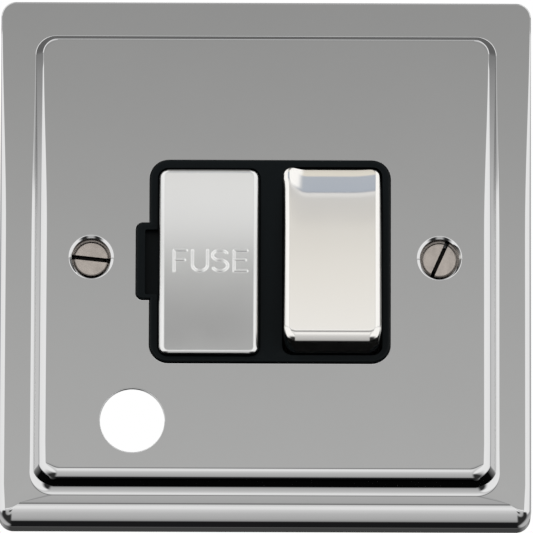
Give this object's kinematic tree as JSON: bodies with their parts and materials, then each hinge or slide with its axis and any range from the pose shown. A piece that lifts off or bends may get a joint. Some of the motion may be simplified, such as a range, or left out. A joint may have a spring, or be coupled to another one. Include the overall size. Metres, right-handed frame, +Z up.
{
  "type": "switched fused connection unit",
  "caption": "Square stepped chrome wall plate with a pull-out fuse carrier, a rocker switch and a flex outlet, screwed to a one-gang wall box.",
  "frame": {"origin": "middle of the two fixing screws, in the plane of the wall", "axes": "+Z up, +X to the right seen from the front, the front faces -Y and the screws point to +Y"},
  "size_m": [0.092, 0.0318, 0.092],
  "materials": {
    "plate_chrome": "mirror-polished chrome plating with faint polishing haze",
    "carrier_metal": "softly polished nickel chrome",
    "rocker_chrome": "mirror-polished chrome",
    "insert_black": "black moulded urea, low gloss with a cool edge sheen",
    "housing_black": "black moulded plastic, fine spark texture",
    "carrier_black": "black moulded plastic",
    "rocker_black": "black moulded plastic",
    "clamp_black": "black moulded nylon",
    "plunger_nylon": "natural nylon",
    "fuse_ceramic": "unglazed off-white ceramic",
    "fuse_nickel": "nickel-plated brass",
    "contact_bronze": "rolled phosphor bronze strip",
    "brass": "machined and pressed brass",
    "spring_steel": "drawn spring wire",
    "screw_steel": "zinc-plated steel",
    "fixing_steel": "nickel-plated steel, warm satin"
  },
  "bodies": {
    "root": {"front_plate": "plate_chrome", "plate_bosses": "brass", "insert_bezel": "insert_black", "rear_housing": "housing_black", "fuse_clip_upper": "contact_bronze", "fuse_clip_lower": "contact_bronze", "supply_live_contact": "brass", "supply_neutral_contact": "brass", "live_link": "brass", "neutral_link": "brass", "load_live_link": "brass", "terminal_supply_earth": "brass", "terminal_supply_live": "brass", "terminal_supply_neutral": "brass", "terminal_load_live": "brass", "terminal_load_neutral": "brass", "terminal_load_earth": "brass", "terminal_screws": "screw_steel", "earth_strap_supply": "brass", "earth_strap_load": "brass", "housing_screws": "screw_steel", "cord_clamp_bar": "clamp_black", "cord_clamp_screws": "screw_steel", "fixing_screw_left": "fixing_steel", "fixing_screw_right": "fixing_steel"},
    "rocker": {"rocker_cap": "rocker_chrome", "rocker_body": "rocker_black", "plunger_spring_live": "spring_steel", "plunger_spring_neutral": "spring_steel"},
    "fuse_drawer": {"fuse_carrier": "carrier_black", "fuse_carrier_cap": "carrier_metal", "fuse_barrel": "fuse_ceramic", "fuse_cap_upper": "fuse_nickel", "fuse_cap_lower": "fuse_nickel"},
    "arm_live": {"contact_arm_live": "contact_bronze"},
    "pin_live": {"plunger_live": "plunger_nylon"},
    "arm_neutral": {"contact_arm_neutral": "contact_bronze"},
    "pin_neutral": {"plunger_neutral": "plunger_nylon"}
  },
  "joints": [
    {"name": "rocker_tilt", "type": "hinge", "parent": "root", "child": "rocker", "pos_m": [0.0116, -0.0072, -0.0007], "axis": [1, 0, 0], "range_deg": [0, 14]},
    {"name": "fuse_carrier_slide", "type": "slide", "parent": "root", "child": "fuse_drawer", "axis": [0, -1, 0], "range_m": [0, 0.012]},
    {"name": "contact_arm_tilt_live", "type": "hinge", "parent": "root", "child": "arm_live", "pos_m": [0.0076, 0.0009, -0.0007], "axis": [-1, 0, 0], "range_deg": [0, 16]},
    {"name": "plunger_press_live", "type": "slide", "parent": "rocker", "child": "pin_live", "axis": [0, 0.9925, -0.1219], "range_m": [-0.0008, 0], "stiffness_N_per_m": 250, "deforming": ["plunger_spring_live"]},
    {"name": "contact_arm_tilt_neutral", "type": "hinge", "parent": "root", "child": "arm_neutral", "pos_m": [0.0156, 0.0009, -0.0007], "axis": [-1, 0, 0], "range_deg": [0, 16]},
    {"name": "plunger_press_neutral", "type": "slide", "parent": "rocker", "child": "pin_neutral", "axis": [0, 0.9925, -0.1219], "range_m": [-0.0008, 0], "stiffness_N_per_m": 250, "deforming": ["plunger_spring_neutral"]}
  ],
  "couplings": [
    {"joint": "contact_arm_tilt_live", "follows": "rocker_tilt", "ratio": 1.1428},
    {"joint": "contact_arm_tilt_neutral", "follows": "rocker_tilt", "ratio": 1.1428}
  ]
}
